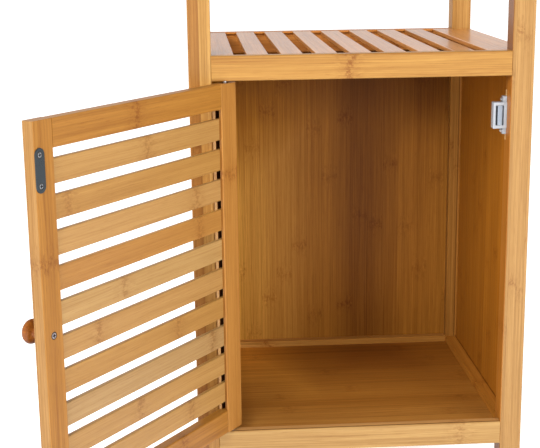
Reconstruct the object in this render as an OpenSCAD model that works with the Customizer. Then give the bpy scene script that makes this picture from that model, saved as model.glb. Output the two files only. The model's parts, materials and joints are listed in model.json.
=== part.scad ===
// Slatted storage cabinet with a hinged louvre-style door.
// Four square posts carry a slatted top shelf, a slatted middle shelf and a
// closed cupboard. The door turns on two steel pins beside the left front post.
// Origin: on the floor, midway between the four posts. Front faces -Y, +Z is up.
// All sizes in millimetres.

/* [Frame] */
// Clear width between the left and right posts
opening_width = 332.7; // [280:0.1:420]
// Depth over the posts, front face to rear face
overall_depth = 343; // [280:1:420]
// Side of the square posts
post_size = 25; // [20:1:32]
// Floor to the underside of the bottom rails
leg_clearance = 75; // [40:1:120]
// Clear height of the cupboard opening
opening_height = 410; // [300:1:520]
// Clear height between the middle shelf and the top shelf's rails
bay_height = 272.5; // [200:0.5:360]
// Height of every rail
rail_height = 27.5; // [22:0.5:35]
// Thickness of the front rails
front_rail_thick = 12; // [10:0.5:16]
// Thickness of the rear rails of the two shelves
rear_rail_thick = 18; // [16:0.5:25]
// Chamfer along the long edges of posts and rails
edge_chamfer = 0.8; // [0.3:0.1:1.5]

/* [Shelf slats] */
// Slats between the two end slats of a shelf
inner_slats = 7; // [5:1:9]
// Width of one inner slat
slat_width = 23.9; // [18:0.1:30]
// Width of the slat beside each side rail
end_slat_width = 25.2; // [18:0.1:32]
// Thickness of a shelf slat
slat_thick = 5; // [4.5:0.5:12]
// Length of the tongue at each slat end
slat_tongue = 5; // [3:0.5:6]
// Thickness of that tongue
slat_tongue_thick = 3; // [2.5:0.5:4]

/* [Panels] */
// Thickness of the back, side and bottom panels
panel_thick = 4; // [3:0.5:6]
// Depth of the panel grooves
groove_depth = 6; // [4:0.5:8]
// Top of the bottom rails down to the bottom panel
floor_drop = 8; // [5:0.5:12]
// Post inner face out to the side panel
side_panel_set = 15; // [10:0.5:18]
// Rear post front face back to the back panel
back_panel_set = 12; // [8:0.5:16]

/* [Door] */
// Thickness of the door frame
door_thick = 13; // [11:0.5:16]
// Angle the door stands open at rest
door_open = 125.3; // [0:0.1:128]
// Gap between door and left post when shut
door_gap_side = 2.15; // [1.8:0.05:3]
// Gap between door and front rail above it
door_gap_top = 2.4; // [1.5:0.1:4]
// Gap between door and bottom rail
door_gap_bottom = 3; // [2.5:0.1:5]
// Overall width of the door
door_width = 328.3; // [270:0.1:416]
// Width of the stile on the hinge side
hinge_stile_width = 29; // [24:0.5:34]
// Width of the stile that carries the knob
free_stile_width = 26; // [22:0.5:34]
// Width of the door's top and bottom rails
door_rail_width = 27.5; // [22:0.5:34]
// Number of slats in the door
door_slats = 10; // [6:1:12]
// Width of a door slat
door_slat_width = 23.9; // [18:0.1:28]
// Thickness of a door slat
door_slat_thick = 5; // [4:0.5:7]
// Door's inner face to the face of the slats
door_slat_set = 3.6; // [2:0.1:5]
// Length of slat and rail ends let into the stiles
door_tongue = 5.8; // [4:0.1:7]
// Depth of the slat groove in the hinge stile
hinge_groove = 11; // [7:0.5:12]
// Depth of the slat groove in the free stile
free_groove = 8.5; // [7:0.5:9]

/* [Hinge pins] */
// Hinge edge of the door to the pin axis
pin_edge = 12.4; // [10:0.1:14]
// Front face of the posts to the pin axis
pin_set = 7.1; // [6:0.1:8]
// Diameter of the hinge pins
pin_d = 4.5; // [4:0.1:6]
// Radial clearance of the pins in their bushes
pin_clear = 0.05; // [0.02:0.01:0.1]
// Outer diameter of the bushes
bush_d = 7; // [6.5:0.1:9]
// Depth of the bushes in the door
bush_depth = 12; // [8:0.5:16]

/* [Fittings] */
// Diameter of the knob head
knob_d = 24.5; // [20:0.5:30]
// Height of the knob
knob_height = 20.5; // [18:0.5:28]
// Height of the magnetic catch
catch_height = 43; // [40:0.5:50]
// How far the catch stands out from the post
catch_reach = 15.7; // [12:0.1:20]
// Length of the strike plate
strike_length = 41.4; // [36:0.2:46]
// Width of the strike plate
strike_width = 12.4; // [10:0.2:14]
// Diameter of the foot glides
glide_d = 19; // [15:0.5:24]
// Thickness of the foot glides
glide_thick = 3; // [2:0.5:5]

/* [Hidden] */

// Colours
wood_post = [0.86, 0.62, 0.34];
wood_rail = [0.89, 0.66, 0.37];
wood_slat = [0.88, 0.68, 0.44];
wood_panel = [0.72, 0.48, 0.24];
wood_knob = [0.62, 0.34, 0.16];
zinc = [0.72, 0.73, 0.75];
steel_dark = [0.27, 0.31, 0.35];
plastic_white = [0.90, 0.90, 0.90];
plastic_brown = [0.30, 0.20, 0.13];

// Main planes
ix = opening_width / 2;
ox = ix + post_size;
yf = -overall_depth / 2;
yr = overall_depth / 2;
z_low = leg_clearance;
z_floor = z_low + rail_height;
z_mid_under = z_floor + opening_height;
z_mid = z_mid_under + rail_height;
z_top_under = z_mid + bay_height;
z_top = z_top_under + rail_height;
side_len = overall_depth - 2 * post_size;

// Shelf slats: gaps share what the slats leave between the posts
slat_gap = (opening_width - inner_slats * slat_width - 2 * end_slat_width) / (inner_slats + 1);
slat_pitch = slat_width + slat_gap;
slat_y0 = yf + front_rail_thick;
slat_y1 = yr - rear_rail_thick;
tongue_drop = slat_thick - slat_tongue_thick;
seam_chamfer = 0.1;

// Dowels and frame screws
screw_head_d = 9;
screw_head_h = 3;
screw_d = 4.6;
screw_len = 45;
screw_y = front_rail_thick / 2;
screw_play = 0.1;
floor_tongue = 3.2;
drive = 0.02;

// Door
door_z0 = z_floor + door_gap_bottom;
door_z1 = z_mid_under - door_gap_top;
door_h = door_z1 - door_z0;
door_mid = (door_z0 + door_z1) / 2;
slat_run = door_width - hinge_stile_width - free_stile_width;
door_gap = (door_h - 2 * door_rail_width - door_slats * door_slat_width) / (door_slats + 1);
tongue_y = door_thick - door_slat_set - door_slat_thick;
pin_x = -ix + door_gap_side + pin_edge;
pin_y = yf + pin_set;
pin_r = pin_d / 2;
bush_r = bush_d / 2;
collar_d = 8.4;
collar_h = 1.6;
flange_h = door_gap_bottom - collar_h - 0.1;
pin_set_top = 8.5;
pin_set_bottom = 7.5;
knob_x = door_width - 13.2;

// Catch and strike plate
catch_z = z_mid - 74.1;
catch_y = yf + 15;
catch_body_h = 29.6;
catch_rim = 2.7;
magnet_in = 4.9;
magnet_w = 5.4;
magnet_h = 22.4;
notch_h = 57;
notch_side = 6.5;
notch_deep = 0.4;
flange_t = 4.4;
catch_screw_z = 17.8;
strike_x = door_width - strike_width / 2 - 0.2;
strike_z = z_mid - 75.1;
strike_t = 1.1;
strike_screw_z = 14.3;

// A straight bar of length l along axis "x", "y" or "z", from its low corner,
// with chamfered long edges
module bar(ax, size, c = edge_chamfer) {
  if (ax == "z") linear_extrude(size[2]) eight(size[0], size[1], c);
  else if (ax == "x") translate([0, size[1], 0]) rotate([90, 0, 90])
    linear_extrude(size[0]) mirror([1, 0]) eight(size[1], size[2], c);
  else translate([0, size[1], 0]) rotate([90, 0, 0])
    linear_extrude(size[1]) eight(size[0], size[2], c);
}

module eight(a, b, c) {
  polygon([[c, 0], [a - c, 0], [a, c], [a, b - c], [a - c, b], [c, b], [0, b - c], [0, c]]);
}

// A bare box from low corner p with size s
module box(p, s) { translate(p) cube(s); }

// Pan-head screw along +Z, head at z = 0 and above
module pan_screw(head_d, head_h, shank_d, len, slot) {
  difference() {
    union() {
      cylinder(h = head_h * 0.55, d = head_d, $fn = 40);
      translate([0, 0, head_h * 0.55])
        cylinder(h = head_h * 0.45, d1 = head_d, d2 = head_d * 0.62, $fn = 40);
      translate([0, 0, -len]) cylinder(h = len, d = shank_d, $fn = 32);
    }
    for (q = [0, 90]) rotate([0, 0, q])
      translate([-head_d * 0.3, -slot / 2, head_h * 0.45]) cube([head_d * 0.6, slot, head_h]);
  }
}

// ---------- posts ----------

// Holes for the long screws that hold the front and rear rails
module screw_holes(side) {
  for (z = [z_floor, z_mid, z_top]) for (y = [yf + screw_y, yr - screw_y])
    translate([side * ox, y, z - rail_height / 2]) rotate([0, -side * 90, 0]) {
      translate([0, 0, -1]) cylinder(h = screw_head_h + 1, d = screw_head_d, $fn = 40);
      cylinder(h = post_size + 1, d = screw_d, $fn = 32);
    }
}

module post(side, rear) {
  x0 = side < 0 ? -ox : ix;
  y0 = rear ? yr - post_size : yf;
  gz = z_floor - groove_depth;
  gh = opening_height + 2 * groove_depth;
  gx = side < 0 ? -ix - side_panel_set - panel_thick : ix + side_panel_set;
  gy = yr - post_size + back_panel_set;
  difference() {
    translate([x0, y0, glide_thick]) bar("z", [post_size, post_size, z_top - glide_thick]);
    // side panel groove
    box([gx, rear ? y0 - 1 : y0 + post_size - groove_depth, gz],
        [panel_thick, groove_depth + 1, gh]);
    // back panel groove
    if (rear) box([side < 0 ? -ix - groove_depth : ix - 1, gy, gz],
                  [groove_depth + 1, panel_thick, gh]);
    screw_holes(side);
    // glide spigot
    translate([x0 + post_size / 2, y0 + post_size / 2, 0]) cylinder(h = 14, d = 6, $fn = 32);
    // holes for the catch screws, and a shallow cut down the corner behind the catch
    if (side > 0 && !rear) {
      catch_screw_pos() translate([0, 0, -12]) cylinder(h = 12.5, d = 2.6, $fn = 24);
      box([ix - 1, y0 + post_size - notch_side, catch_z - notch_h / 2],
          [1 + notch_deep, notch_side + 1, notch_h]);
    }
  }
}

module post_front_left() color(wood_post) post(-1, false);
module post_front_right() color(wood_post) post(1, false);
module post_rear_left() color(wood_post) post(-1, true);
module post_rear_right() color(wood_post) post(1, true);

// ---------- rails ----------

// Holes in the ends of a front or rear rail for the frame screws
module rail_end_holes(rear, z) {
  y = rear ? yr - screw_y : yf + screw_y;
  for (s = [-1, 1]) translate([s * (ix + 1), y, z - rail_height / 2]) rotate([0, -s * 90, 0])
    cylinder(h = screw_len - post_size + screw_head_h + 2, d = screw_d, $fn = 32);
}

module slat_groove(y, z) {
  box([-ix - 1, y, z - tongue_drop - slat_tongue_thick],
      [opening_width + 2, slat_tongue, slat_tongue_thick]);
}

module front_rail(z) {
  translate([-ix, yf, z - rail_height]) bar("x", [opening_width, front_rail_thick, rail_height]);
}

module shelf_front_rail(z) difference() {
  front_rail(z);
  slat_groove(yf + front_rail_thick - slat_tongue, z);
  rail_end_holes(false, z);
}

module shelf_rear_rail(z) difference() {
  translate([-ix, yr - rear_rail_thick, z - rail_height])
    bar("x", [opening_width, rear_rail_thick, rail_height]);
  slat_groove(yr - rear_rail_thick, z);
  rail_end_holes(true, z);
}

// The top inner edge stays sharp, because a slat lies tight against it
module side_rail(side, z) {
  c = edge_chamfer;
  translate([side * ix, yf + post_size + side_len, z - rail_height]) rotate([90, 0, 0])
    linear_extrude(side_len) scale([side, 1]) polygon([
      [c, 0], [post_size - c, 0], [post_size, c], [post_size, rail_height - c],
      [post_size - c, rail_height], [seam_chamfer, rail_height], [0, rail_height - seam_chamfer], [0, c]]);
}

// Side panel groove in a rail, cut up from its underside or down from its top
module side_panel_groove(side, z0) {
  box([side < 0 ? -ix - side_panel_set - panel_thick : ix + side_panel_set, yf + post_size - 1, z0],
      [panel_thick, side_len + 2, groove_depth + 1]);
}

module back_panel_groove(z0) {
  box([-ix - 1, yr - post_size + back_panel_set, z0], [opening_width + 2, panel_thick, groove_depth + 1]);
}

module top_front_rail() color(wood_rail) shelf_front_rail(z_top);
module top_rear_rail() color(wood_rail) shelf_rear_rail(z_top);
module top_left_rail() color(wood_rail) side_rail(-1, z_top);
module top_right_rail() color(wood_rail) side_rail(1, z_top);

module mid_front_rail() color(wood_rail) difference() {
  shelf_front_rail(z_mid);
  translate([pin_x, pin_y, z_mid_under - 1]) cylinder(h = pin_set_top + 1, r = pin_r + drive, $fn = 48);
}

module mid_rear_rail() color(wood_rail) difference() {
  shelf_rear_rail(z_mid);
  back_panel_groove(z_mid_under - 1);
}

module mid_left_rail() color(wood_rail) difference() {
  side_rail(-1, z_mid);
  side_panel_groove(-1, z_mid_under - 1);
}

module mid_right_rail() color(wood_rail) difference() {
  side_rail(1, z_mid);
  side_panel_groove(1, z_mid_under - 1);
}

module bottom_front_rail() color(wood_rail) difference() {
  front_rail(z_floor);
  rail_end_holes(false, z_floor);
  box([-ix - 1, yf + front_rail_thick - floor_tongue - 0.3, z_floor - floor_drop - panel_thick],
      [opening_width + 2, floor_tongue + 1, panel_thick]);
  translate([pin_x, pin_y, z_floor - pin_set_bottom]) cylinder(h = pin_set_bottom + 1, r = pin_r + drive, $fn = 48);
}

module bottom_rear_rail() color(wood_rail) difference() {
  translate([-ix, yr - post_size, z_low]) bar("x", [opening_width, post_size, rail_height]);
  rail_end_holes(true, z_floor);
  back_panel_groove(z_floor - groove_depth);
  box([-ix - 1, yr - post_size - 1, z_floor - floor_drop - panel_thick],
      [opening_width + 2, groove_depth + 1, panel_thick]);
}

module bottom_side_rail(side) difference() {
  side_rail(side, z_floor);
  side_panel_groove(side, z_floor - groove_depth);
  box([side < 0 ? -ix - groove_depth : ix - 1, yf + post_size - 1, z_floor - floor_drop - panel_thick],
      [groove_depth + 1, side_len + 2, panel_thick]);
}

module bottom_left_rail() color(wood_rail) bottom_side_rail(-1);
module bottom_right_rail() color(wood_rail) bottom_side_rail(1);

// ---------- shelf slats ----------

// Slat number i of a shelf, from 1 at the left end to inner_slats + 2 at the right
module shelf_slat(i, z) {
  last = inner_slats + 2;
  w = (i == 1 || i == last) ? end_slat_width : slat_width;
  x0 = i == 1 ? -ix : -ix + end_slat_width + slat_gap + (i - 2) * slat_pitch;
  c = 0.5;
  cl = i == 1 ? seam_chamfer : c;
  cr = i == last ? seam_chamfer : c;
  translate([x0, slat_y1, z - slat_thick]) rotate([90, 0, 0]) linear_extrude(slat_y1 - slat_y0)
    polygon([[c, 0], [w - c, 0], [w, c], [w, slat_thick - cr], [w - cr, slat_thick], [cl, slat_thick],
             [0, slat_thick - cl], [0, c]]);
  box([x0 + 0.6, slat_y0 - slat_tongue + 0.2, z - tongue_drop - slat_tongue_thick],
      [w - 1.2, slat_tongue, slat_tongue_thick]);
  box([x0 + 0.6, slat_y1 - 0.2, z - tongue_drop - slat_tongue_thick],
      [w - 1.2, slat_tongue, slat_tongue_thick]);
}

module top_slats() color(wood_slat) for (i = [1:inner_slats + 2]) shelf_slat(i, z_top);
module mid_slat(i) color(wood_slat) shelf_slat(i, z_mid);
module mid_slat_1() mid_slat(1);
module mid_slat_2() mid_slat(2);
module mid_slat_3() mid_slat(3);
module mid_slat_4() mid_slat(4);
module mid_slat_5() mid_slat(5);
module mid_slat_6() mid_slat(6);
module mid_slat_7() mid_slat(7);
module mid_slat_8() mid_slat(8);
module mid_slat_9() mid_slat(9);

// ---------- panels ----------

module bottom_panel() color(wood_panel) translate([0, 0, z_floor - floor_drop - panel_thick]) union() {
  g = groove_depth - 0.3;
  box([-ix - g, yf + post_size + 0.2, 0], [opening_width + 2 * g, side_len - 0.4, panel_thick]);
  box([-ix + 0.2, yf + front_rail_thick - floor_tongue, 0],
      [opening_width - 0.4, overall_depth - front_rail_thick + floor_tongue - post_size + g, panel_thick]);
}

module back_panel() color(wood_panel)
  box([-ix - groove_depth + 0.3, yr - post_size + back_panel_set, z_floor - groove_depth + 0.3],
      [opening_width + 2 * groove_depth - 0.6, panel_thick, opening_height + 2 * groove_depth - 0.6]);

module side_panel(side)
  box([side < 0 ? -ix - side_panel_set - panel_thick : ix + side_panel_set,
       yf + post_size - groove_depth + 0.3, z_floor - groove_depth + 0.3],
      [panel_thick, side_len + 2 * groove_depth - 0.6, opening_height + 2 * groove_depth - 0.6]);

module left_panel() color(wood_panel) side_panel(-1);
module right_panel() color(wood_panel) side_panel(1);

// ---------- door ----------

// Puts a piece drawn in the door's own frame into place. In that frame x runs
// from the hinge edge to the free edge and y from the outer face to the inner face.
module on_door() {
  translate([pin_x, pin_y, 0]) rotate([0, 0, -door_open]) translate([-pin_edge, -pin_set_local(), 0]) children();
}
function pin_set_local() = door_thick / 2;

module door_hinge_stile() color(wood_rail) on_door() difference() {
  translate([0, 0, door_z0]) bar("z", [hinge_stile_width, door_thick, door_h]);
  box([hinge_stile_width - hinge_groove, tongue_y, door_z0 + 12],
      [hinge_groove + 1, door_slat_thick, door_h - 24]);
  for (z = [door_z0 - 1, door_z1 - bush_depth]) translate([pin_edge, door_thick / 2, z])
    cylinder(h = bush_depth + 1, r = bush_r, $fn = 48);
}

module door_free_stile() color(wood_rail) on_door() difference() {
  translate([door_width - free_stile_width, 0, door_z0]) bar("z", [free_stile_width, door_thick, door_h]);
  box([door_width - free_stile_width - 1, tongue_y, door_z0 + 12],
      [free_groove + 1, door_slat_thick, door_h - 24]);
  // knob screw: clearance hole and countersink
  translate([knob_x, -1, door_mid]) rotate([-90, 0, 0]) cylinder(h = door_thick + 2, d = 4, $fn = 32);
  translate([knob_x, door_thick - 2.2, door_mid]) rotate([-90, 0, 0])
    cylinder(h = 2.2, d1 = 4, d2 = 8, $fn = 40);
  for (s = [-1, 1]) translate([strike_x, door_thick + 1, strike_z + s * strike_screw_z]) rotate([90, 0, 0])
    cylinder(h = 10, d = 2.6, $fn = 24);
}

// Top and bottom rails: a full-thickness bar with a tongue at each end
module door_rail(z0, z_t) {
  x0 = hinge_stile_width;
  translate([x0, 0, z0]) bar("x", [slat_run, door_thick, door_rail_width]);
  box([x0 - door_tongue, tongue_y, z_t], [slat_run + 2 * door_tongue, door_slat_thick, door_rail_width - 12.2]);
}

module door_top_rail() color(wood_rail) on_door() door_rail(door_z1 - door_rail_width, door_z1 - door_rail_width);
module door_bottom_rail() color(wood_rail) on_door() door_rail(door_z0, door_z0 + 12.2);

// Slat number i of the door, counted from the top
module door_slat(i) color(wood_slat) on_door()
  translate([hinge_stile_width - door_tongue, tongue_y,
             door_z1 - door_rail_width - i * (door_gap + door_slat_width)])
    bar("x", [slat_run + 2 * door_tongue, door_slat_thick, door_slat_width], 0.5);

module door_slat_1() door_slat(1);
module door_slat_2() door_slat(2);
module door_slat_3() door_slat(3);
module door_slat_4() door_slat(4);
module door_slat_5() door_slat(5);
module door_slat_6() door_slat(6);
module door_slat_7() door_slat(7);
module door_slat_8() door_slat(8);
module door_slat_9() door_slat(9);
module door_slat_10() door_slat(10);

// ---------- knob and its screw ----------

module door_knob() color(wood_knob) on_door() translate([knob_x, 0, door_mid]) rotate([90, 0, 0])
  difference() {
    k = knob_d / 2;
    h = knob_height;
    rotate_extrude($fn = 72)
      polygon([[0, 0], [k * 0.52, 0], [k * 0.53, h * 0.06], [k * 0.44, h * 0.18], [k * 0.41, h * 0.3],
               [k * 0.48, h * 0.42], [k * 0.72, h * 0.52], [k * 0.93, h * 0.6], [k, h * 0.7],
               [k * 0.96, h * 0.8], [k * 0.82, h * 0.89], [k * 0.6, h * 0.95], [k * 0.3, h * 0.99],
               [0, h]]);
    translate([0, 0, -1]) cylinder(h = 13, d = 3.4, $fn = 32);
  }

module knob_screw() color(zinc) on_door() translate([knob_x, door_thick, door_mid]) rotate([-90, 0, 0])
  difference() {
    union() {
      translate([0, 0, -2.1]) cylinder(h = 2, d1 = 3.6, d2 = 7.6, $fn = 40);
      translate([0, 0, -24]) cylinder(h = 23, d = 3.4, $fn = 32);
    }
    for (q = [0, 90]) rotate([0, 0, q]) translate([-1.9, -0.4, -1.2]) cube([3.8, 0.8, 2]);
  }

// ---------- strike plate ----------

module strike_plate() color(steel_dark) on_door() translate([strike_x, door_thick, strike_z])
  rotate([-90, 0, 0]) difference() {
    union() {
      r = strike_width / 2;
      translate([-r, -strike_length / 2 + r, 0]) cube([strike_width, strike_length - strike_width, strike_t]);
      for (s = [-1, 1]) translate([0, s * (strike_length / 2 - r), 0]) cylinder(h = strike_t, r = r, $fn = 64);
    }
    for (s = [-1, 1]) translate([0, s * strike_screw_z, 0]) {
      translate([0, 0, -1]) cylinder(h = 4, d = 3.4, $fn = 32);
      cylinder(h = strike_t, d1 = 3.4, d2 = 5.8, $fn = 40);
    }
  }

module strike_screws() color(zinc) on_door()
  for (s = [-1, 1]) translate([strike_x, door_thick + strike_t, strike_z + s * strike_screw_z])
    rotate([-90, 0, 0]) difference() {
      union() {
        translate([0, 0, -1.1]) cylinder(h = 1.05, d1 = 3.2, d2 = 5.5, $fn = 40);
        translate([0, 0, -9.5]) cylinder(h = 9, d = 2.5, $fn = 32);
      }
      for (q = [0, 90]) rotate([0, 0, q]) translate([-1.4, -0.35, -0.7]) cube([2.8, 0.7, 1.5]);
    }

// ---------- hinge pins and bushes ----------

module pin_top() color(zinc) translate([pin_x, pin_y, z_mid_under - door_gap_top - 10])
  cylinder(h = pin_set_top + door_gap_top + 10, r = pin_r, $fn = 48);

module pin_bottom() color(zinc) translate([pin_x, pin_y, z_floor]) union() {
  translate([0, 0, -pin_set_bottom]) cylinder(h = pin_set_bottom + door_gap_bottom + 10, r = pin_r, $fn = 48);
  cylinder(h = collar_h, d = collar_d, $fn = 48);
}

module bush(z0) translate([pin_edge, door_thick / 2, z0]) difference() {
  cylinder(h = bush_depth, r = bush_r, $fn = 48);
  translate([0, 0, -1]) cylinder(h = bush_depth + 2, r = pin_r + pin_clear, $fn = 48);
}

module bush_top() color(plastic_brown) on_door() bush(door_z1 - bush_depth);

module bush_bottom() color(plastic_brown) on_door() difference() {
  union() {
    translate([pin_edge, door_thick / 2, door_z0]) cylinder(h = bush_depth, r = bush_r, $fn = 48);
    translate([pin_edge, door_thick / 2, door_z0 - flange_h]) cylinder(h = flange_h, d = collar_d, $fn = 48);
  }
  translate([pin_edge, door_thick / 2, door_z0 - flange_h - 1])
    cylinder(h = bush_depth + flange_h + 2, r = pin_r + pin_clear, $fn = 48);
}

// ---------- magnetic catch ----------

// Screw positions on the inner face of the right front post, axis pointing inwards
module catch_screw_pos() {
  for (s = [-1, 1]) translate([ix, catch_y + 5.8, catch_z + s * catch_screw_z]) rotate([0, -90, 0]) children();
}

module catch_body() color(plastic_white) difference() {
  union() {
    box([ix - flange_t, catch_y + 2, catch_z - catch_height / 2], [flange_t, 7.7, catch_height]);
    box([ix - catch_reach, catch_y, catch_z - catch_body_h / 2], [catch_reach, 9.7, catch_body_h]);
  }
  // pocket for the magnet
  box([ix - catch_reach + catch_rim, catch_y - 1, catch_z - magnet_h / 2], [9.4, 8, magnet_h]);
  catch_screw_pos() translate([0, 0, -1]) cylinder(h = flange_t + 2, d = 3, $fn = 32);
}

module catch_magnet() color(zinc)
  box([ix - catch_reach + magnet_in, catch_y - 0.1, catch_z - magnet_h / 2], [magnet_w, 7.1, magnet_h]);

module catch_screws() color(zinc) catch_screw_pos() translate([0, 0, flange_t])
  pan_screw(4.8, 2.2, 2.5, 12, 0.8);

// ---------- frame screws and glides ----------

module frame_screws() color(zinc)
  for (s = [-1, 1]) for (z = [z_floor, z_mid, z_top]) for (y = [yf + screw_y, yr - screw_y])
    translate([s * (ox - screw_head_h), y, z - rail_height / 2]) rotate([0, s * 90, 0]) difference() {
      union() {
        cylinder(h = screw_head_h - 0.4, d = screw_head_d - 0.4, $fn = 40);
        translate([0, 0, -screw_len + 1]) cylinder(h = screw_len - 1, d = screw_d - screw_play, $fn = 32);
      }
      translate([0, 0, 0.8]) cylinder(h = 4, d = 4.6, $fn = 6);
    }

module foot_glides() color(plastic_brown)
  for (x = [-1, 1]) for (y = [-1, 1])
    translate([x * (ix + post_size / 2), y * (yr - post_size / 2), 0]) union() {
      cylinder(h = 1, d1 = glide_d - 1.6, d2 = glide_d, $fn = 48);
      translate([0, 0, 1]) cylinder(h = glide_thick - 1, d = glide_d, $fn = 48);
      translate([0, 0, glide_thick - 0.5]) cylinder(h = 11, d = 5.9, $fn = 32);
    }

// ---------- drawing ----------

post_front_left();
post_front_right();
post_rear_left();
post_rear_right();
top_front_rail();
top_rear_rail();
top_left_rail();
top_right_rail();
top_slats();
mid_front_rail();
mid_rear_rail();
mid_left_rail();
mid_right_rail();
mid_slat_1();
mid_slat_2();
mid_slat_3();
mid_slat_4();
mid_slat_5();
mid_slat_6();
mid_slat_7();
mid_slat_8();
mid_slat_9();
bottom_front_rail();
bottom_rear_rail();
bottom_left_rail();
bottom_right_rail();
bottom_panel();
back_panel();
left_panel();
right_panel();
door_hinge_stile();
door_free_stile();
door_top_rail();
door_bottom_rail();
door_slat_1();
door_slat_2();
door_slat_3();
door_slat_4();
door_slat_5();
door_slat_6();
door_slat_7();
door_slat_8();
door_slat_9();
door_slat_10();
door_knob();
knob_screw();
strike_plate();
strike_screws();
pin_top();
pin_bottom();
bush_top();
bush_bottom();
catch_body();
catch_magnet();
catch_screws();
frame_screws();
foot_glides();
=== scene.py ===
"""Looks of a slatted bamboo storage cabinet: lacquered bamboo boards, a louvre-style
door on steel pins, a turned knob, a strike plate and a magnetic catch.
Everything is in metres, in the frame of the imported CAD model."""
import json
import math

import bmesh
import bpy
from mathutils import Matrix, Vector


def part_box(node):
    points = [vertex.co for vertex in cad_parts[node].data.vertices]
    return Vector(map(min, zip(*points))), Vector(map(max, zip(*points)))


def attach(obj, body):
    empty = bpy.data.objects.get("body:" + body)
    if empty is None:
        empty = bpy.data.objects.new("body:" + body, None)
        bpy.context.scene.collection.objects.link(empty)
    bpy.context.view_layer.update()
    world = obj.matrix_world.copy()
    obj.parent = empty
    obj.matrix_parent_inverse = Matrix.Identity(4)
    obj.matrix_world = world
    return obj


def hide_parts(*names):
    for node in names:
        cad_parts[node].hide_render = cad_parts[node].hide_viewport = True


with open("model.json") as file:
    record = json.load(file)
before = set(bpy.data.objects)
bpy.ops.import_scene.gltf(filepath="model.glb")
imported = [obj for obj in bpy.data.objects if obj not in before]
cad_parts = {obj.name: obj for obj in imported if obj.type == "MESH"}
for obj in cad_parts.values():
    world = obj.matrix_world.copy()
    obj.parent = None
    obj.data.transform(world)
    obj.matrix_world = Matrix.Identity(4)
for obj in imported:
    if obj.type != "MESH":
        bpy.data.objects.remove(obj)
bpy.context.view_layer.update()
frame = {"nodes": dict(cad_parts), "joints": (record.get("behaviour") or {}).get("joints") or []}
nodes = frame["nodes"]
joint = frame["joints"][0]

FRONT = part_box("post_front_left")[0].y
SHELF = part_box("mid_front_rail")[1].z
PIVOT = Vector(joint["pos_m"])
DOOR_OPEN = math.radians(joint["range_deg"][1])
DOOR_SPIN = Matrix.Rotation(-DOOR_OPEN, 3, "Z")

# camera: turned right, tipped down and rolled, in degrees, and its place beside the cabinet
YAW, PITCH, ROLL = 3.559, 13.394, -0.718
CAMERA_X, CAMERA_AHEAD, CAMERA_ABOVE = -0.186975, 1.329317, 0.127991
LENS_MM, SENSOR_MM = 81.09, 36.0

# lamps: name, place (right, ahead of the front face, up), side of the square, watts, and
# whether it is seen in reflections
AIM = (0, 0, 0.45)
LAMPS = (("key", (-1.1, 2.3, 1.75), 1.6, 70, False),
         ("side", (-2.2, 1.7, 1.5), 1.6, 42, False),
         ("fill", (1.6, 2.1, 1.5), 1.6, 43, False),
         ("spark", (-1.9, 1.5, 2.3), 0.45, 7, True))

# door: from the pins' axis to the hinge edge, then along the door from that edge
PIN_EDGE = 0.0124
KNOB_ALONG, STRIKE_ALONG = 0.3151, 0.3219
KNOB_LENGTH = 0.0205
SCREW_SPREAD = 0.0143

EDGE = (0.00015,) * 3       # a patch with a crisp border
FITTING_ANGLE = 35.0        # degrees; on metal and plastic only sharper edges are rounded


# ---------------------------------------------------------------- camera

def make_camera():
    """Long lens in front of the left half, a little above the middle shelf, looking down."""
    yaw, pitch, roll = (math.radians(v) for v in (YAW, PITCH, ROLL))
    flat = math.cos(pitch)
    fwd = Vector((math.sin(yaw) * flat, math.cos(yaw) * flat, -math.sin(pitch)))
    level = Vector((math.cos(yaw), -math.sin(yaw), 0))
    up = level.cross(fwd)
    right = level * math.cos(roll) + up * math.sin(roll)
    up = up * math.cos(roll) - level * math.sin(roll)
    cam = bpy.data.objects.new("camera", bpy.data.cameras.new("camera"))
    bpy.context.scene.collection.objects.link(cam)
    cam.matrix_world = Matrix((
        (right.x, up.x, -fwd.x, CAMERA_X),
        (right.y, up.y, -fwd.y, FRONT - CAMERA_AHEAD),
        (right.z, up.z, -fwd.z, SHELF + CAMERA_ABOVE),
        (0, 0, 0, 1)))
    cam.data.sensor_width = SENSOR_MM
    cam.data.lens = LENS_MM
    cam.data.clip_start, cam.data.clip_end = 0.05, 60
    bpy.context.scene.camera = cam


# ---------------------------------------------------------------- light and floor

def area_light(name, ahead, size, power, glossy):
    """Soft box. Only the small one shows as a highlight in lacquer and metal."""
    place = Vector((ahead[0], FRONT - ahead[1], ahead[2]))
    data = bpy.data.lights.new(name, "AREA")
    data.shape = "RECTANGLE"
    data.size = data.size_y = size
    data.energy = power
    obj = bpy.data.objects.new(name, data)
    bpy.context.scene.collection.objects.link(obj)
    obj.visible_glossy = glossy
    obj.location = place
    obj.rotation_mode = "QUATERNION"
    obj.rotation_quaternion = (Vector(AIM) - place).to_track_quat("-Z", "Y")


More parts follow.
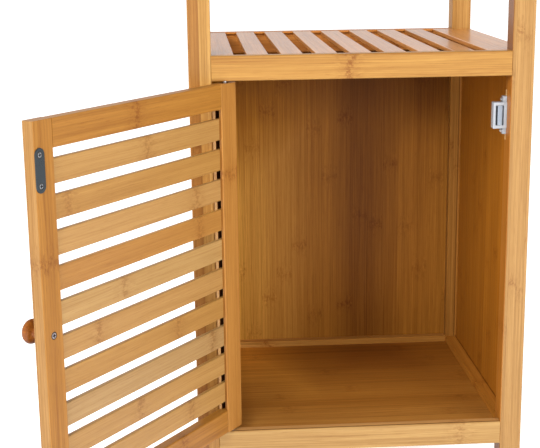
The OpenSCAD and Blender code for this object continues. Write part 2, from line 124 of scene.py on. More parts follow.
def make_studio():
    scene = bpy.context.scene
    scene.view_settings.view_transform = "Standard"
    scene.view_settings.look = "None"
    world = bpy.data.worlds.new("studio")
    scene.world = world
    world.use_nodes = True
    # white walls, with a dimmer ceiling overhead
    tree = world.node_tree
    rise = new_node(tree, "ShaderNodeSeparateXYZ")
    put(tree, rise.inputs[0], new_node(tree, "ShaderNodeTexCoord").outputs["Generated"])
    sky = tree.nodes["Background"]
    put(tree, sky.inputs["Strength"], ramp01(tree, rise.outputs[2], 0.25, 0.9, 1.03, 0.35))
    sky.inputs["Color"].default_value = (1, 1, 1, 1)
    for lamp in LAMPS:
        area_light(*lamp)

    bm = bmesh.new()
    bmesh.ops.create_grid(bm, x_segments=4, y_segments=4, size=20)
    mesh = bpy.data.meshes.new("floor")
    bm.to_mesh(mesh)
    bm.free()
    floor = bpy.data.objects.new("floor", mesh)
    scene.collection.objects.link(floor)
    mat = bpy.data.materials.new("floor")
    mat.use_nodes = True
    shader = mat.node_tree.nodes["Principled BSDF"]
    shader.inputs["Base Color"].default_value = (0.96, 0.96, 0.96, 1)
    shader.inputs["Roughness"].default_value = 0.9
    shader.inputs["Emission Color"].default_value = (1, 1, 1, 1)
    shader.inputs["Emission Strength"].default_value = 0.65
    mesh.materials.append(mat)


# ---------------------------------------------------------------- node helpers

def new_node(tree, kind, **settings):
    node = tree.nodes.new(kind)
    for key, value in settings.items():
        setattr(node, key, value)
    return node


def put(tree, socket, value):
    """Links a socket to value, or sets it if value is a plain number or tuple."""
    if isinstance(value, bpy.types.NodeSocket):
        tree.links.new(value, socket)
    else:
        socket.default_value = value


def maths(tree, op, a, b=None, c=None, clamp=False):
    node = new_node(tree, "ShaderNodeMath", operation=op, use_clamp=clamp)
    for socket, value in zip(node.inputs, (a, b, c)):
        if value is not None:
            put(tree, socket, value)
    return node.outputs[0]


def swing(tree, value, amount):
    """Random value from 0 to 1 made to swing by amount about zero."""
    return maths(tree, "MULTIPLY", maths(tree, "SUBTRACT", value, 0.5), amount)


def ramp01(tree, value, lo, hi, to_lo=0.0, to_hi=1.0, smooth=True):
    kind = "SMOOTHSTEP" if smooth else "LINEAR"
    node = new_node(tree, "ShaderNodeMapRange", interpolation_type=kind)
    put(tree, node.inputs["Value"], value)
    put(tree, node.inputs["From Min"], lo)
    put(tree, node.inputs["From Max"], hi)
    put(tree, node.inputs["To Min"], to_lo)
    put(tree, node.inputs["To Max"], to_hi)
    return node.outputs["Result"]


def mix_colour(tree, factor, a, b, blend="MIX"):
    node = new_node(tree, "ShaderNodeMix", data_type="RGBA", blend_type=blend)
    put(tree, node.inputs[0], factor)
    put(tree, node.inputs[6], a)
    put(tree, node.inputs[7], b)
    return node.outputs[2]


def scaled(tree, vector, factors, offset=None):
    node = new_node(tree, "ShaderNodeVectorMath", operation="MULTIPLY")
    put(tree, node.inputs[0], vector)
    node.inputs[1].default_value = factors
    out = node.outputs[0]
    if offset is not None:
        add = new_node(tree, "ShaderNodeVectorMath", operation="ADD")
        put(tree, add.inputs[0], out)
        put(tree, add.inputs[1], offset)
        out = add.outputs[0]
    return out


def noise(tree, vector, detail=2.0, rough=0.5):
    node = new_node(tree, "ShaderNodeTexNoise")
    put(tree, node.inputs["Vector"], vector)
    node.inputs["Scale"].default_value = 1.0
    node.inputs["Detail"].default_value = detail
    node.inputs["Roughness"].default_value = rough
    return node.outputs["Fac"]


# ---------------------------------------------------------------- bamboo

def bamboo_group():
    """Bamboo lumber. The vector's x runs along the grain, y across a strip's face
    and z through the layers, all in metres from the middle of the piece."""
    tree = bpy.data.node_groups.new("bamboo", "ShaderNodeTree")
    face = tree.interface
    face.new_socket("Vector", in_out="INPUT", socket_type="NodeSocketVector")
    for name, value in (("Seed", 0.0), ("Strip", 0.02), ("Layer", 0.006), ("Node at", 0.0),
                        ("Period", 0.26), ("Jitter", 0.2), ("Node depth", 0.6), ("Contrast", 1.0),
                        ("Fine", 1.0)):
        sock = face.new_socket(name, in_out="INPUT", socket_type="NodeSocketFloat")
        sock.default_value = value
    for name in ("Light", "Dark"):
        face.new_socket(name, in_out="INPUT", socket_type="NodeSocketColor")
    face.new_socket("Color", in_out="OUTPUT", socket_type="NodeSocketColor")
    face.new_socket("Height", in_out="OUTPUT", socket_type="NodeSocketFloat")
    face.new_socket("Rough", in_out="OUTPUT", socket_type="NodeSocketFloat")
    gin = new_node(tree, "NodeGroupInput").outputs
    gout = new_node(tree, "NodeGroupOutput").inputs

    vec, seed = gin["Vector"], gin["Seed"]
    axes = new_node(tree, "ShaderNodeSeparateXYZ")
    put(tree, axes.inputs[0], vec)
    g, a, b = axes.outputs

    # which strip of which layer, and three random numbers for it
    row = maths(tree, "ADD", maths(tree, "DIVIDE", b, gin["Layer"]),
                maths(tree, "MULTIPLY", seed, 0.371))
    layer = maths(tree, "FLOOR", row)
    col = maths(tree, "ADD", maths(tree, "DIVIDE", a, gin["Strip"]), 0.5)
    strip = maths(tree, "FLOOR", col)
    cell = new_node(tree, "ShaderNodeCombineXYZ")
    put(tree, cell.inputs[0], layer)
    put(tree, cell.inputs[1], strip)
    put(tree, cell.inputs[2], seed)
    rnd = new_node(tree, "ShaderNodeTexWhiteNoise", noise_dimensions="3D")
    put(tree, rnd.inputs["Vector"], cell.outputs[0])
    split = new_node(tree, "ShaderNodeSeparateColor")
    put(tree, split.inputs[0], rnd.outputs["Color"])
    r1, r2, r3 = split.outputs

    # a different patch of noise for each strip
    shift = new_node(tree, "ShaderNodeCombineXYZ")
    put(tree, shift.inputs[0], maths(tree, "MULTIPLY", r1, 40.0))
    put(tree, shift.inputs[1], maths(tree, "MULTIPLY", r2, 40.0))
    put(tree, shift.inputs[2], maths(tree, "ADD", maths(tree, "MULTIPLY", r3, 40.0), seed))
    shift = shift.outputs[0]

    # nodes of the cane: one dark, mottled band across a strip every 30 cm or so
    wave = noise(tree, scaled(tree, vec, (60.0, 160.0, 160.0), shift), detail=2.0)
    place = maths(tree, "SUBTRACT", g, gin["Node at"])
    place = maths(tree, "ADD", place, swing(tree, wave, 0.013))
    place = maths(tree, "ADD", place, swing(tree, r3, gin["Jitter"]))
    turn = maths(tree, "ADD", maths(tree, "DIVIDE", place, gin["Period"]), 0.5)
    turn = maths(tree, "SUBTRACT", maths(tree, "FRACT", turn), 0.5)
    off = maths(tree, "MULTIPLY", maths(tree, "ABSOLUTE", turn), gin["Period"])
    band = ramp01(tree, off, 0.0078, 0.0020)
    halo = ramp01(tree, off, 0.024, 0.004)
    mottle = noise(tree, scaled(tree, vec, (250.0, 330.0, 330.0), shift), detail=2.5, rough=0.7)
    speck = ramp01(tree, mottle, 0.42, 0.60)
    swirl = noise(tree, scaled(tree, vec, (120.0, 330.0, 330.0), shift), detail=2.0)
    swirl = maths(tree, "SUBTRACT", swirl, 0.5)

    # the grain drifts a little sideways along its length, and bends round the nodes
    drift = noise(tree, scaled(tree, vec, (7.0, 30.0, 30.0), shift), detail=1.0)
    bend = new_node(tree, "ShaderNodeCombineXYZ")
    wobble = swing(tree, drift, 0.0030)
    near_node = maths(tree, "MULTIPLY", maths(tree, "MULTIPLY", swirl, halo), 0.0045)
    wobble = maths(tree, "ADD", wobble, near_node)
    put(tree, bend.inputs[1], wobble)
    put(tree, bend.inputs[2], wobble)
    bent = new_node(tree, "ShaderNodeVectorMath", operation="ADD")
    put(tree, bent.inputs[0], vec)
    put(tree, bent.inputs[1], bend.outputs[0])
    bent = bent.outputs[0]
    squeeze = new_node(tree, "ShaderNodeCombineXYZ")
    squeeze.inputs[0].default_value = 1.0
    put(tree, squeeze.inputs[1], gin["Fine"])
    put(tree, squeeze.inputs[2], gin["Fine"])
    tight = new_node(tree, "ShaderNodeVectorMath", operation="MULTIPLY")
    put(tree, tight.inputs[0], bent)
    put(tree, tight.inputs[1], squeeze.outputs[0])
    bent = tight.outputs[0]

    broad = noise(tree, scaled(tree, bent, (2.6, 120.0, 120.0), shift), detail=1.5)
    streak = noise(tree, scaled(tree, bent, (7.0, 420.0, 420.0), shift), detail=2.5, rough=0.6)
    fibre = noise(tree, scaled(tree, bent, (24.0, 1500.0, 1500.0), shift), detail=2.0, rough=0.6)
    dash = noise(tree, scaled(tree, bent, (60.0, 1100.0, 1100.0), shift), detail=1.5)

    # tone: streaks inside the strip, plus the strip's own shade
    tone = swing(tree, streak, 2.1)
    for value, amount in ((broad, 1.2), (fibre, 0.9), (r1, 0.42)):
        tone = maths(tree, "ADD", tone, swing(tree, value, amount))
    curl = maths(tree, "MULTIPLY", swirl, maths(tree, "MULTIPLY", halo, 1.3))
    tone = maths(tree, "ADD", tone, curl)
    tone = maths(tree, "ADD", maths(tree, "MULTIPLY", tone, gin["Contrast"]), 0.55, clamp=True)
    colour = mix_colour(tree, tone, gin["Dark"], gin["Light"])

    # vascular bundles: short darker hairlines
    hair = maths(tree, "MULTIPLY", ramp01(tree, dash, 0.58, 0.70), 0.34)
    colour = mix_colour(tree, hair, colour, (0.62, 0.46, 0.28, 1), "MULTIPLY")

    # the node band itself: a soft shade with dark flecks in it
    depth = maths(tree, "ADD", maths(tree, "MULTIPLY", maths(tree, "MULTIPLY", band, speck), 0.62),
                  maths(tree, "MULTIPLY", halo, 0.16))
    share = maths(tree, "ADD", 0.7, maths(tree, "MULTIPLY", r2, 0.6))
    depth = maths(tree, "MULTIPLY", depth, share)
    depth = maths(tree, "MULTIPLY", depth, gin["Node depth"], clamp=True)
    colour = mix_colour(tree, depth, colour, (0.52, 0.32, 0.15, 1), "MULTIPLY")

    # glue lines between layers and strips
    def seam(value, size):
        off_middle = maths(tree, "SUBTRACT", maths(tree, "FRACT", value), 0.5)
        near = maths(tree, "SUBTRACT", 0.5, maths(tree, "ABSOLUTE", off_middle))
        return ramp01(tree, maths(tree, "MULTIPLY", near, size), 0.00042, 0.0001)
    line = maths(tree, "MAXIMUM", seam(row, gin["Layer"]), seam(col, gin["Strip"]))
    faint = maths(tree, "MULTIPLY", line, 0.45)
    colour = mix_colour(tree, faint, colour, (0.55, 0.42, 0.28, 1), "MULTIPLY")

    height = maths(tree, "ADD", maths(tree, "MULTIPLY", fibre, 0.6),
                   maths(tree, "MULTIPLY", streak, 0.3))
    flecks = maths(tree, "MULTIPLY", maths(tree, "MULTIPLY", band, speck), 0.35)
    height = maths(tree, "ADD", height, flecks)
    height = maths(tree, "SUBTRACT", height, maths(tree, "MULTIPLY", line, 0.5))
    put(tree, gout["Color"], colour)
    put(tree, gout["Height"], height)
    put(tree, gout["Rough"], ramp01(tree, fibre, 0.3, 0.75, 0.36, 0.50, smooth=False))
    return tree


AXES = {"x": Vector((1, 0, 0)), "y": Vector((0, 1, 0)), "z": Vector((0, 0, 1))}
DULL = dict(coat=0.0, gloss=0.08)       # rough-sanded wood inside the cupboard
TONES = {                               # light and dark shade of each kind of board
    "post": ((0.365, 0.206, 0.068), (0.215, 0.101, 0.024)),
    "rail": ((0.352, 0.188, 0.045), (0.206, 0.087, 0.015)),
    # inner: the rail shade made more orange for the pieces inside the cupboard, painted warm bounce
    # light
    "inner": ((0.370, 0.165, 0.034), (0.210, 0.080, 0.012)),
    "slat": ((0.500, 0.215, 0.055), (0.320, 0.120, 0.022)),
    "door": ((0.345, 0.152, 0.026), (0.215, 0.080, 0.010)),
    "louvre": ((0.395, 0.218, 0.066), (0.262, 0.122, 0.028)),
    "panel": ((0.330, 0.135, 0.019), (0.165, 0.052, 0.005)),
    "knob": ((0.255, 0.082, 0.011), (0.128, 0.032, 0.004)),
}


def patch(tree, local, colour, middle, half, tint, soft=EDGE, blend="MULTIPLY"):
    """Tints the colour inside a box of the piece's own frame, mostly for painted light and shade,
    such as painted shade in a groove.
    soft is how far in from each pair of faces the tint takes to reach full strength."""
    away = new_node(tree, "ShaderNodeVectorMath", operation="SUBTRACT")
    put(tree, away.inputs[0], local)
    away.inputs[1].default_value = middle
    size = new_node(tree, "ShaderNodeVectorMath", operation="ABSOLUTE")
    put(tree, size.inputs[0], away.outputs[0])
    inside = new_node(tree, "ShaderNodeVectorMath", operation="SUBTRACT")
    inside.inputs[0].default_value = half
    put(tree, inside.inputs[1], size.outputs[0])
    steps = new_node(tree, "ShaderNodeSeparateXYZ")
    put(tree, steps.inputs[0], scaled(tree, inside.outputs[0], tuple(1 / s for s in soft)))
    u, v, w = steps.outputs
    least = maths(tree, "MINIMUM", maths(tree, "MINIMUM", u, v), w)
    return mix_colour(tree, ramp01(tree, least, 0.0, 1.0), colour, (*tint, 1), blend)


def bamboo(name, tone, grain, layers, middle, turn=0.0, seed=0.0, strip=0.02, layer=0.006,
           node_at=0.0, period=0.26, jitter=0.2, depth=0.6, contrast=1.0, fine=1.0, tint=(1, 1, 1),
           coat=0.10, gloss=0.25, sheen=0.28, patches=()):
    """Lacquered bamboo with its grain along one axis and its layers stacked along another.
    turn is the angle about Z from the piece's own axes to the frame's."""
    mat = bpy.data.materials.new(name)
    mat.use_nodes = True
    tree = mat.node_tree
    shader = tree.nodes["Principled BSDF"]
    spin = Matrix.Rotation(-turn, 3, "Z")
    along, deep = AXES[grain], AXES[layers]
    across = deep.cross(along)
    own = Matrix((along, across, deep)) @ spin
    place = new_node(tree, "ShaderNodeMapping", vector_type="POINT")
    put(tree, place.inputs["Vector"], new_node(tree, "ShaderNodeTexCoord").outputs["Object"])
    place.inputs["Rotation"].default_value = own.to_euler("XYZ")
    place.inputs["Location"].default_value = -(own @ Vector(middle))
    wood = new_node(tree, "ShaderNodeGroup")
    wood.node_tree = bpy.data.node_groups["bamboo"]
    put(tree, wood.inputs["Vector"], place.outputs[0])
    for key, value in (("Seed", seed), ("Strip", strip), ("Layer", layer), ("Node at", node_at),
                       ("Period", period), ("Jitter", jitter), ("Node depth", depth),
                       ("Contrast", contrast), ("Fine", fine)):
        wood.inputs[key].default_value = value
    for key, rgb in zip(("Light", "Dark"), TONES[tone]):
        wood.inputs[key].default_value = (*(c * k for c, k in zip(rgb, tint)), 1)
    colour = wood.outputs["Color"]
    for spec in patches:
        colour = patch(tree, place.outputs[0], colour, *spec)
    put(tree, shader.inputs["Base Color"], colour)
    put(tree, shader.inputs["Roughness"], wood.outputs["Rough"])
    shader.inputs["Specular IOR Level"].default_value = gloss
    shader.inputs["Coat Weight"].default_value = coat
    shader.inputs["Coat Roughness"].default_value = sheen
    bump = new_node(tree, "ShaderNodeBump")
    bump.inputs["Strength"].default_value = 0.25
    bump.inputs["Distance"].default_value = 0.0004
    put(tree, bump.inputs["Height"], wood.outputs["Height"])
    put(tree, shader.inputs["Normal"], bump.outputs[0])
    return mat


# ---------------------------------------------------------------- other materials

def plain(name, colour, rough, metal=0.0, grit=900.0, spread=0.06, bump=0.05):
    """Metal or moulded plastic: fine grit in the colour, the roughness and the surface."""
    mat = bpy.data.materials.new(name)
    mat.use_nodes = True
    tree = mat.node_tree
    shader = tree.nodes["Principled BSDF"]
    spot = new_node(tree, "ShaderNodeTexCoord").outputs["Object"]
    fine = noise(tree, scaled(tree, spot, (grit,) * 3), detail=3.0, rough=0.6)
    slow = noise(tree, scaled(tree, spot, (90.0, 90.0, 90.0)), detail=2.0)
    mixed = maths(tree, "ADD", maths(tree, "MULTIPLY", fine, 0.5),
                  maths(tree, "MULTIPLY", slow, 0.5))
    lo = (*(c * (1 - spread * 2) for c in colour), 1)
    hi = (*(min(1, c * (1 + spread)) for c in colour), 1)
    put(tree, shader.inputs["Base Color"], mix_colour(tree, ramp01(tree, mixed, 0.3, 0.7), lo, hi))
    put(tree, shader.inputs["Roughness"], ramp01(tree, mixed, 0.3, 0.7, rough * 0.85, rough * 1.15))
    shader.inputs["Metallic"].default_value = metal
    node = new_node(tree, "ShaderNodeBump")
    node.inputs["Strength"].default_value = bump
    node.inputs["Distance"].default_value = 0.0002
    put(tree, node.inputs["Height"], fine)
    put(tree, shader.inputs["Normal"], node.outputs[0])
    return mat


# ---------------------------------------------------------------- finishing the CAD pieces

def soften(node, width, segments=2, angle=24.0):
    """Rounds the edges of a carried-over CAD piece and smooths its shading."""
    obj = nodes[node]
    mesh = obj.data
    for name in ("custom_normal", "sharp_edge"):
        if name in mesh.attributes:
            mesh.attributes.remove(mesh.attributes[name])
    mesh.polygons.foreach_set("use_smooth", [True] * len(mesh.polygons))
    weld = obj.modifiers.new("weld", "WELD")
    weld.merge_threshold = 0.00001
    bevel = obj.modifiers.new("bevel", "BEVEL")
    bevel.width = width
    bevel.segments = segments
    bevel.limit_method = "ANGLE"
    bevel.angle_limit = math.radians(angle)
    bevel.use_clamp_overlap = True
    bevel.harden_normals = False
    normal = obj.modifiers.new("normal", "WEIGHTED_NORMAL")
    normal.keep_sharp = False
    normal.weight = 80


def clothe(node, mat):
    mesh = nodes[node].data
    mesh.materials.clear()
    mesh.materials.append(mat)


def centre(node):
    lo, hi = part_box(node)
    return (lo + hi) / 2


def wood_piece(node, tone, grain, layers, bevel=0.0007, **more):
    clothe(node, bamboo("bamboo_" + node, tone, grain, layers, centre(node), **more))
    soften(node, bevel)


# ---------------------------------------------------------------- cabinet and door

def dress_posts():
    """Grain up, layers side by side. A patch is in the piece's own frame: along the grain,
    across a strip, through the layers."""
    hidden, soft_ends = (0.10, 1, 0.0064), (0.05, 0.1, 0.0002)
    skin = 0.0005                       # depth of the right post's inner face
    notch = centre("catch_body").z - centre("post_front_right").z
    height, tall = -0.128, 0.2185       # middle and half of the cupboard's height
    # painted shade on the half of each rear post that stands inside the cupboard
    band, shade = (tall, 0.0065, 0.0078), (0.85, 0.72, 0.48)
    rear = (1.1, 1.3, 1.9)
    posts = (
        ("post_front_left", "post", 3.0, (1.00, 0.98, 0.84),
         # left half, lower end, and painted light on the right and left half where the open door
         # stands before it
         (((0, 0, -0.0065), (1, 1, 0.0064), (0.77, 0.64, 0.53)),
          ((-0.5, 0, 0), (0.45, 1, 1), (0.85, 0.76, 0.66), (0.2, 0.1, 0.1)),
          ((0.01, 0, 0.0065), hidden, (1.38, 1.32, 1.22), soft_ends),
          ((0.01, 0, -0.0065), hidden, (1.20, 1.13, 1.05), soft_ends))),
        ("post_front_right", "post", 8.0, (0.95, 0.94, 0.94),
         # inner face: painted shade over the shelf and down the leg, a painted warm bounce light
         # beside the cupboard, and the pale cut
         (((0.32, 0, -0.0125), (0.23, 1, skin), (0.65, 0.43, 0.22)),
          ((-0.127, 0, -0.0125), (0.217, 1, skin), (1.25, 0.88, 0.41)),
          ((-0.445, 0, -0.0125), (0.098, 1, skin), (0.38, 0.21, 0.10)),
          ((notch, -0.0093, -0.0121), (0.0286, 0.0034, 0.0003), (0.62, 0.42, 0.20), EDGE, "MIX"))),
        ("post_rear_left", "inner", 12.0, rear,
         (((height, 0.0065, 0.005), band, shade),)),
        ("post_rear_right", "inner", 21.0, rear,
         (((height, 0.0065, -0.005), band, shade),
          # painted shade in the gap beside the side panel, and painted light on the edge that
          # catches the light
          ((height, 0.0125, -0.0004), (tall, 0.0006, 0.0010), (0.62, 0.55, 0.50)),
          ((height, 0.0125, 0.0016), (tall, 0.0006, 0.0008), (1.35, 1.35, 1.35)))))
    for i, (node, tone, seed, tint, patches) in enumerate(posts):
        wood_piece(node, tone, "z", "x", layer=0.0088, strip=0.026, seed=seed, tint=tint,
                   contrast=0.68, fine=1.5, node_at=0.03 + 0.07 * i, period=0.29, depth=0.6,
                   patches=patches, **(DULL if tone == "inner" else {}))


def dress_rails():
    even = (1.0, 1.0, 1.0)
    # on the front rail's top: a dark line just behind its front face, and painted light on the rest
    # of the top behind it
    rail_top_line_and_light = (((0, -0.0137, -0.0042), (1, 0.0009, 0.0009), (0.42, 0.24, 0.14)),
                  ((0, -0.0137, 0.0016), (1, 0.0009, 0.0044), (1.5, 1.4, 1.5)))
    # painted shade where the right rail meets the side panel
    panel_contact_shade = (((0, 0.0137, 0.0017), (1, 0.0009, 0.0009), (0.45, 0.33, 0.25)),)
    # painted light on the left part of the lower rear rail
    painted_light_left = (((-0.13, 0, 0), (0.13, 1, 1), (1.9, 2.2, 2.6), (0.16, 0.1, 0.1)),)
    # name, tone, grain, seed, place and depth of the cane node, tint, patches
    rails = (("top_front_rail", "rail", "x", 31.0, 0.04, 0.8, even, ()),
             ("top_rear_rail", "rail", "x", 33.0, -0.06, 0.8, even, ()),
             ("mid_front_rail", "rail", "x", 42.0, -0.014, 0.8, (1.04, 1.03, 1.02), ()),
             ("mid_rear_rail", "inner", "x", 43.0, 0.09, 0.8, (1.37, 1.20, 1.22), ()),
             ("bottom_front_rail", "rail", "x", 52.0, 0.118, 0.4, (1.02, 1.14, 1.60), rail_top_line_and_light),
             ("bottom_rear_rail", "inner", "x", 53.0, -0.09, 0.8, even, painted_light_left),
             ("bottom_left_rail", "inner", "y", 55.0, 0.02, 0.8, even, ()),
             ("bottom_right_rail", "inner", "y", 57.0, -0.04, 0.8, (1.24, 1.15, 0.82), panel_contact_shade))
    for node, tone, grain, seed, at, depth, tint, patches in rails:
        layers = "y" if grain == "x" else "x"
        wood_piece(node, tone, grain, layers, strip=0.03, layer=0.0062, seed=seed, node_at=at,
                   period=0.34, jitter=0.0, depth=depth, contrast=0.8, fine=1.5, tint=tint,
                   patches=patches, **(DULL if tone == "inner" else {}))


def dress_shelves():
    # the shelves' side rails are cut from the same boards as the slats beside them
    board = dict(period=0.31, depth=0.35, coat=0.45, gloss=0.4, sheen=0.2)
    for node in ("top_left_rail", "top_right_rail", "mid_left_rail", "mid_right_rail"):
        wood_piece(node, "slat", "y", "z", strip=0.06, layer=0.04, seed=77.0, node_at=0.1,
                   bevel=0.0002, tint=(1.14, 1.17, 1.16), **board)

    # boards: grain front to back, wide faces up, the ninth the palest
    for i in range(1, 10):
        wood_piece(f"mid_slat_{i}", "slat", "y", "z", strip=0.027, layer=0.02, seed=60.0 + 1.7 * i,
                   node_at=-0.12 + 0.083 * ((i * 5) % 9), bevel=0.0005,
                   tint=(0.99 + 0.02 * ((i * 7) % 3) + 0.13 * (i // 9),) * 3, **board)
    wood_piece("top_slats", "slat", "y", "z", strip=0.0383, layer=0.02, seed=90.0, jitter=0.3,
               bevel=0.0005, **board)


def dress_panels():
    """The back and floor carry painted shading: paler to the left, darker in the middle right."""
    thin = dict(strip=0.0215, layer=0.02, jitter=0.6, bevel=0.0003, contrast=0.6, fine=1.5, **DULL)
    upright = dict(period=0.27, depth=0.5, **thin)
    face, skin, crisp = -0.002, 0.001, 0.0002       # the back panel's inner face only
    back = (((0.2, 0, face), (0.11, 1, skin), (0.50, 0.42, 0.22), (0.10, 0.1, crisp)),
            ((0.2, 0.20, face), (0.14, 0.13, skin), (0.68, 0.62, 0.55), (0.08, 0.06, crisp)),
            ((-0.255, 0.05, face), (0.5, 0.07, skin), (0.60, 0.54, 0.55), (0.07, 0.07, crisp)),
            ((0, -0.13, face), (1, 0.13, skin), (1.75, 1.85, 1.1), (0.1, 0.16, crisp)),
            ((-0.37, -0.13, face), (0.5, 0.13, skin), (1.75, 2.2, 4.8), (0.16, 0.16, crisp)))
    floor = (((0, 0.16, 0), (1, 0.24, 1), (0.72, 0.62, 0.48), (0.1, 0.22, 0.1)),
             ((-0.12, 0.42, 0), (0.10, 0.5, 1), (2.8, 3.4, 3.4), (0.14, 0.30, 0.1)),
             ((-0.12, 0, 0), (0.05, 1, 1), (1.5, 1.6, 1.8), (0.12, 0.1, 0.1)),
             ((0.055, 0.16, 0), (0.085, 0.16, 1), (0.76, 0.68, 0.75), (0.07, 0.12, 0.1)),
             ((0, -0.16, 0), (1, 0.11, 1), (1.04, 1.12, 1.40), (0.1, 0.08, 0.1)))
    wood_piece("back_panel", "panel", "z", "y", seed=101.0, tint=(0.97, 0.97, 0.95), patches=back,
               **upright)
    wood_piece("left_panel", "panel", "z", "x", seed=103.0, **upright)
    wood_piece("right_panel", "panel", "z", "x", seed=104.0, tint=(1.24, 1.18, 0.88), **upright)
    wood_piece("bottom_panel", "panel", "x", "z", seed=107.0, period=0.36, depth=0.4,
               tint=(1.18, 1.24, 1.45), patches=floor, **thin)


def door_point(along, inward, up):
    """Frame position of a point along the door from its pins, in from the pins' plane, and up."""
    flat = DOOR_SPIN @ Vector((along, inward, 0))
    return Vector((PIVOT.x + flat.x, PIVOT.y + flat.y, up))


def dress_door():
    turn = -DOOR_OPEN
    groove_shade = (0.10, 0.06, 0.07)            # painted shade deep in the slats' grooves
    frame_wood = dict(turn=turn, strip=0.035, layer=0.0065, jitter=0.0, contrast=0.75, fine=1.3,
                      gloss=0.15)
    wood_piece("door_hinge_stile", "door", "z", "y", seed=121.0, node_at=0.10, period=0.33,
               depth=0.6, tint=(1.10, 1.13, 1.45),
               # painted shade in the groove and on the edge beside the slats, and a painted pale
               # sheen on the edge's front strip
               patches=(((0, 0.009, 0.0004), (0.191, 0.0055, 0.00265), groove_shade),
                        ((0, 0.0145, 0.0040), (1, 0.0005, 0.0012), (0.66, 0.60, 0.55)),
                        ((0, 0.0145, -0.0045), (1, 0.0005, 0.0022), (1.1, 1.35, 2.4))),
               **frame_wood)
    # painted shade in the groove, and a painted pale sheen on the outer edge of the free stile
    wood_piece("door_free_stile", "door", "z", "y", seed=123.0, node_at=0.07, period=0.33,
               depth=0.6,
               patches=(((0, -0.00875, 0.0004), (0.191, 0.00425, 0.00265), groove_shade),
                        ((0, 0.0130, 0), (1, 0.0006, 1), (0.86, 1.04, 1.9))), **frame_wood)
    for node, seed, at in (("door_top_rail", 131.0, 0.013), ("door_bottom_rail", 133.0, -0.05)):
        wood_piece(node, "door", "x", "y", seed=seed, node_at=at, period=0.36, depth=0.7,
                   **frame_wood)
    # ten slats out of different strips: node place and shade of each, from the top
    slats = ((-0.008, 1.01, 1.02, 1.02), (0.116, 0.98, 0.94, 0.81), (-0.090, 1.00, 1.01, 1.09),
             (-0.095, 1.15, 1.06, 0.85), (0.038, 1.03, 1.13, 1.36), (0.080, 0.98, 0.98, 1.02),
             (-0.050, 0.89, 0.83, 0.69), (-0.114, 0.94, 1.05, 1.39), (0.020, 0.95, 0.95, 0.95),
             (-0.070, 0.93, 0.92, 0.88))
    for i, (at, *tint) in enumerate(slats):
        wood_piece(f"door_slat_{i + 1}", "louvre", "x", "y", turn=turn, strip=0.03, layer=0.02,
                   seed=141.0 + 2.3 * i, node_at=at, period=0.36, jitter=0.0, depth=0.7,
                   contrast=0.6, fine=1.5, tint=tint, bevel=0.0004)


# ---------------------------------------------------------------- knob

def make_knob():
    """Turned mushroom knob: foot, waist and a domed head with a soft rim."""
    lo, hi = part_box("door_knob")
    middle = (lo + hi) / 2
    radius = (hi.z - lo.z) / 2 * 0.99   # a hair inside the CAD knob
    axis_out = DOOR_SPIN @ Vector((0, -1, 0))
    foot = door_point(KNOB_ALONG - PIN_EDGE, -0.0065, middle.z)
    # radius and height, as shares of the knob's own
    shape = [(0.0, 0.0), (0.50, 0.0), (0.53, 0.03), (0.52, 0.08), (0.46, 0.15), (0.42, 0.23),
             (0.41, 0.30), (0.43, 0.37), (0.50, 0.44), (0.64, 0.49), (0.80, 0.535), (0.92, 0.585),
             (0.98, 0.64), (1.0, 0.70), (0.985, 0.765), (0.93, 0.83), (0.84, 0.885), (0.70, 0.93),
             (0.52, 0.965), (0.32, 0.988), (0.14, 0.997), (0.0, 1.0)]
    bm = bmesh.new()
    rings = 56
    side = axis_out.cross(Vector((0, 0, 1))).normalized()
    up = Vector((0, 0, 1))
    loops = []
    for r, h in shape:
        if r == 0.0:
            loops.append([bm.verts.new(foot + axis_out * (h * KNOB_LENGTH))])
            continue
        ring = []
        for k in range(rings):
            t = 2 * math.pi * k / rings
            ring.append(bm.verts.new(foot + axis_out * (h * KNOB_LENGTH)
                                     + (side * math.cos(t) + up * math.sin(t)) * (r * radius)))
        loops.append(ring)
    for one, two in zip(loops, loops[1:]):
        for k in range(rings):
            n = (k + 1) % rings
            if len(one) == 1:
                bm.faces.new((one[0], two[k], two[n]))
            elif len(two) == 1:
                bm.faces.new((one[k], two[0], one[n]))
            else:
                bm.faces.new((one[k], two[k], two[n], one[n]))
    bmesh.ops.recalc_face_normals(bm, faces=bm.faces)
    mesh = bpy.data.meshes.new("knob")
    bm.to_mesh(mesh)
    bm.free()
    mesh.polygons.foreach_set("use_smooth", [True] * len(mesh.polygons))
    knob = bpy.data.objects.new("knob", mesh)
    bpy.context.scene.collection.objects.link(knob)
    # painted shade on the lower part of the knob
    underside_shade = ((0, -0.02, 0), (1, 0.0165, 1), (0.62, 0.52, 0.45), (0.1, 0.008, 0.1))
    mesh.materials.append(bamboo("bamboo_knob", "knob", "y", "x", middle, turn=-DOOR_OPEN,
                                 strip=0.05, layer=0.05, seed=171.0, depth=0.0, contrast=0.8,
                                 coat=0.2, sheen=0.12, gloss=0.15, patches=(underside_shade,)))
    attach(knob, "door")
    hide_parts("door_knob")


# ---------------------------------------------------------------- strike plate

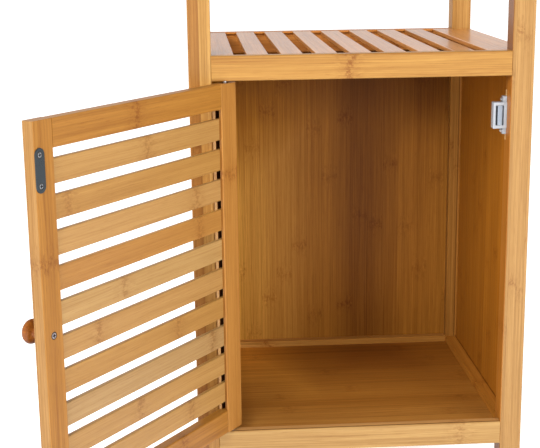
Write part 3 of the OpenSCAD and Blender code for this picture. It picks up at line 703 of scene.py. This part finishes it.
def make_strike(mat):
    """Thin pressed plate with round ends, soft edges and a dished hole for each screw."""
    lo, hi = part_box("strike_plate")
    half = (hi.z - lo.z) / 2
    wide, thick, dish = 0.0062, 0.0011, 0.0029
    flat = bpy.data.curves.new("strike", "CURVE")
    flat.dimensions = "2D"
    flat.fill_mode = "BOTH"
    soft = 0.00028
    flat.extrude = thick / 2 - soft
    flat.bevel_depth = soft
    flat.bevel_resolution = 3
    flat.offset = -soft

    def loop(points):
        spline = flat.splines.new("POLY")
        spline.points.add(len(points) - 1)
        for point, (x, y) in zip(spline.points, points):
            point.co = (x, y, 0, 1)
        spline.use_cyclic_u = True

    reach = half - wide
    outline = [(wide * math.cos(t), reach + wide * math.sin(t))
               for t in (math.pi * k / 28 for k in range(29))]
    outline += [(-x, -y) for x, y in outline]
    loop(outline)
    for side in (-1, 1):
        loop([(dish * math.cos(t), side * SCREW_SPREAD + dish * math.sin(t))
              for t in (-2 * math.pi * k / 36 for k in range(36))])
    carrier = bpy.data.objects.new("strike_curve", flat)
    bpy.context.scene.collection.objects.link(carrier)
    bpy.context.view_layer.update()
    ready = carrier.evaluated_get(bpy.context.evaluated_depsgraph_get())
    mesh = bpy.data.meshes.new_from_object(ready)
    bpy.data.objects.remove(carrier)
    along = DOOR_SPIN @ Vector((1, 0, 0))
    inner = DOOR_SPIN @ Vector((0, 1, 0))
    middle = (lo + hi) / 2
    mesh.transform(Matrix((
        (-along.x, 0, inner.x, middle.x), (-along.y, 0, inner.y, middle.y),
        (0, 1, 0, middle.z), (0, 0, 0, 1))))
    mesh.name = "strike"
    mesh.materials.clear()
    mesh.materials.append(mat)
    plate = bpy.data.objects.new("strike", mesh)
    bpy.context.scene.collection.objects.link(plate)
    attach(plate, "door")
    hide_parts("strike_plate")


# ---------------------------------------------------------------- fittings

def screw_steel(name, axis, spread, radius, metal):
    """Screw head: dark round the rim, painted shade in the cross recess, brighter between them."""
    mat = bpy.data.materials.new(name)
    mat.use_nodes = True
    tree = mat.node_tree
    shader = tree.nodes["Principled BSDF"]
    own = Matrix.Rotation(DOOR_OPEN, 3, "Z")
    place = new_node(tree, "ShaderNodeMapping", vector_type="POINT")
    put(tree, place.inputs["Vector"], new_node(tree, "ShaderNodeTexCoord").outputs["Object"])
    place.inputs["Rotation"].default_value = own.to_euler("XYZ")
    place.inputs["Location"].default_value = -(own @ axis)
    split = new_node(tree, "ShaderNodeSeparateXYZ")
    put(tree, split.inputs[0], place.outputs[0])
    u = maths(tree, "ABSOLUTE", split.outputs[0])
    v = maths(tree, "SUBTRACT", maths(tree, "ABSOLUTE", split.outputs[2]), spread)
    v = maths(tree, "ABSOLUTE", v)
    square = maths(tree, "ADD", maths(tree, "POWER", u, 2.0), maths(tree, "POWER", v, 2.0))
    away = maths(tree, "SQRT", square)
    rim = ramp01(tree, away, radius * 0.62, radius * 0.80)
    # painted shade in the cross recess of the head
    arm = maths(tree, "MULTIPLY", ramp01(tree, maths(tree, "MINIMUM", u, v), 0.00080, 0.00045),
                ramp01(tree, away, radius * 0.60, radius * 0.50))
    fine = noise(tree, scaled(tree, place.outputs[0], (1400.0, 1400.0, 1400.0)), detail=3.0)
    colour = mix_colour(tree, fine, tuple(c * 0.75 for c in metal) + (1,), (*metal, 1))
    colour = mix_colour(tree, rim, colour, (0.040, 0.026, 0.016, 1))
    colour = mix_colour(tree, arm, colour, (0.008, 0.006, 0.006, 1))
    put(tree, shader.inputs["Base Color"], colour)
    put(tree, shader.inputs["Roughness"], ramp01(tree, fine, 0.3, 0.7, 0.30, 0.42))
    shader.inputs["Metallic"].default_value = 0.6
    return mat


def dress_fittings():
    zinc = plain("zinc", (0.62, 0.63, 0.65), 0.30, metal=1.0)
    dark = plain("strike_steel", (0.011, 0.019, 0.025), 0.30, metal=0.2, grit=1500.0, spread=0.12)
    white = plain("white_plastic", (0.29, 0.305, 0.33), 0.42, spread=0.02, bump=0.03)
    brown = plain("brown_plastic", (0.10, 0.055, 0.03), 0.5)
    magnet = plain("magnet", (0.32, 0.36, 0.42), 0.35, metal=0.9, spread=0.08)
    clothe("catch_screws", zinc)
    soften("catch_screws", 0.00012, 1, FITTING_ANGLE)
    # name, place along the door, spread of a pair, head radius, colour
    screws = (("knob_screw", KNOB_ALONG, 0.0, 0.0038, (0.33, 0.29, 0.30)),
              ("strike_screws", STRIKE_ALONG, SCREW_SPREAD, 0.0033, (0.30, 0.32, 0.34)))
    for node, along, spread, radius, metal in screws:
        axis = door_point(along - PIN_EDGE, 0, centre(node).z)
        clothe(node, screw_steel(node + "_steel", axis, spread, radius, metal))
        soften(node, 0.00012, 1, FITTING_ANGLE)
    make_strike(dark)
    clothe("catch_body", white)
    soften("catch_body", 0.0009, 3, FITTING_ANGLE)
    for node, mat in (("pin_top", zinc), ("pin_bottom", zinc), ("frame_screws", zinc),
                      ("catch_magnet", magnet), ("bush_top", brown), ("bush_bottom", brown),
                      ("foot_glides", brown)):
        clothe(node, mat)
        soften(node, 0.0003, 2, FITTING_ANGLE)


make_camera()
make_studio()
bamboo_group()
dress_posts()
dress_rails()
dress_shelves()
dress_panels()
dress_door()
make_knob()
dress_fittings()

bpy.context.view_layer.update()
